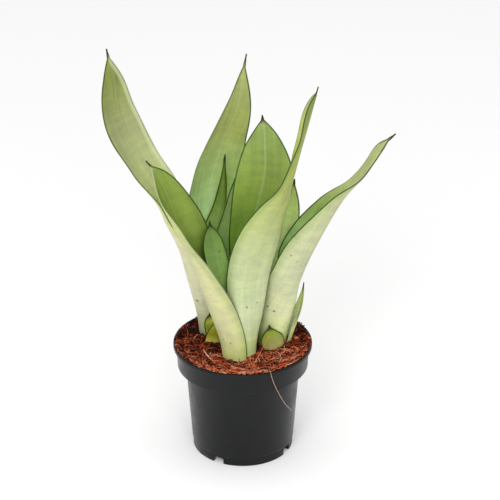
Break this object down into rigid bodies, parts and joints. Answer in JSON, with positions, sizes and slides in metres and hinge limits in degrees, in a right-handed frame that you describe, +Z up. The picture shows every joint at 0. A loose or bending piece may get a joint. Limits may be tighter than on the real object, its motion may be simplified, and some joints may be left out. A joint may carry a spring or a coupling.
{
  "type": "potted snake plant",
  "caption": "Moonshine snake plant with pale, channelled, upright leaves in four clumps, growing in coir soil in a black round nursery pot.",
  "frame": {"origin": "centre of the pot's flat underside", "axes": "+Z up, -Y towards the viewer in the picture, +X to the viewer's right"},
  "size_m": [0.2385, 0.12, 0.3671],
  "materials": {
    "pot": "semi-gloss black moulded plastic",
    "soil": "dry red-brown coir",
    "rootstock": "pale fibrous rhizome",
    "leaf": "waxy pale green, silver-cream outside"
  },
  "bodies": {
    "root": {"pot": "pot", "soil": "soil", "rootstock_front": "rootstock", "rootstock_left": "rootstock", "rootstock_right": "rootstock", "rootstock_rear": "rootstock", "leaf_left_tall": "leaf", "leaf_left_front": "leaf", "leaf_front": "leaf", "leaf_front_young": "leaf", "leaf_centre_broad": "leaf", "leaf_rear_left": "leaf", "leaf_rear_spear": "leaf", "leaf_rear_tall": "leaf", "leaf_rear_right": "leaf", "leaf_right_arching": "leaf", "leaf_right_short": "leaf", "sheath_right_front": "leaf", "sheath_left_inner": "leaf", "sheath_left_outer": "leaf"}
  },
  "joints": []
}
